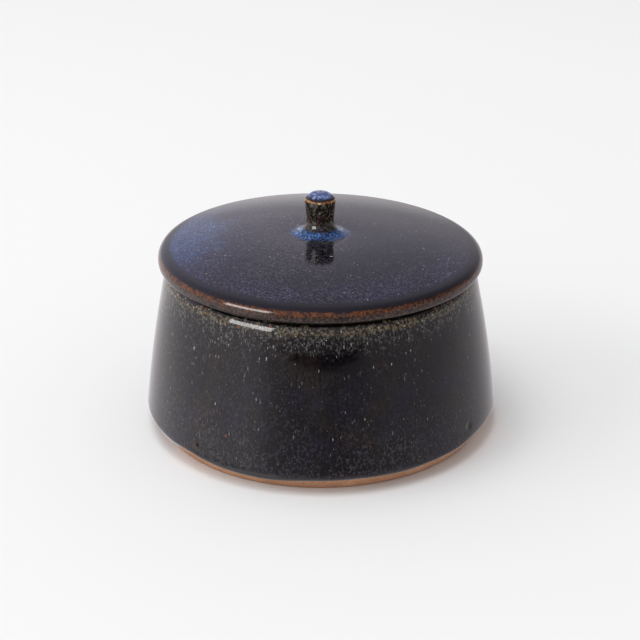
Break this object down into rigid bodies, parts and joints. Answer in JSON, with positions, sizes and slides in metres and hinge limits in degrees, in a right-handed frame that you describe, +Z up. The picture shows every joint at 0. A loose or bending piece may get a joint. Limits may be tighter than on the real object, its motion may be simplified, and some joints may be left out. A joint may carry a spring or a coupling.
{
  "type": "lidded jar",
  "caption": "Low stoneware jar that narrows towards its mouth, with a loose domed lid, locating flange and small round knob, dark speckled glaze and a bare clay foot.",
  "frame": {"origin": "centre of the foot, on the surface that the jar stands on", "axes": "+Z up along the axis that the jar and the lid were thrown on; X and Y are free, because the shape is turned"},
  "size_m": [0.14, 0.14, 0.0947],
  "materials": {
    "stoneware": "matte, bare fired clay",
    "jar_glaze": "gloss, near-black with pale flecks",
    "lid_glaze": "gloss, slate blue-black, finely speckled",
    "knob_glaze": "gloss, dark brown with a blue top",
    "liner_glaze": "gloss, blue-black"
  },
  "bodies": {
    "jar": {"jar_body": "stoneware", "jar_glaze": "jar_glaze", "jar_liner": "liner_glaze"},
    "lid": {"lid_plate": "stoneware", "lid_flange": "stoneware", "lid_knob": "stoneware", "lid_glaze": "lid_glaze", "knob_glaze": "knob_glaze", "lid_liner": "liner_glaze"}
  },
  "joints": [
    {"name": "lid_lift", "type": "slide", "parent": "jar", "child": "lid", "axis": [0, 0, 1], "range_m": [0, 0.08]}
  ]
}
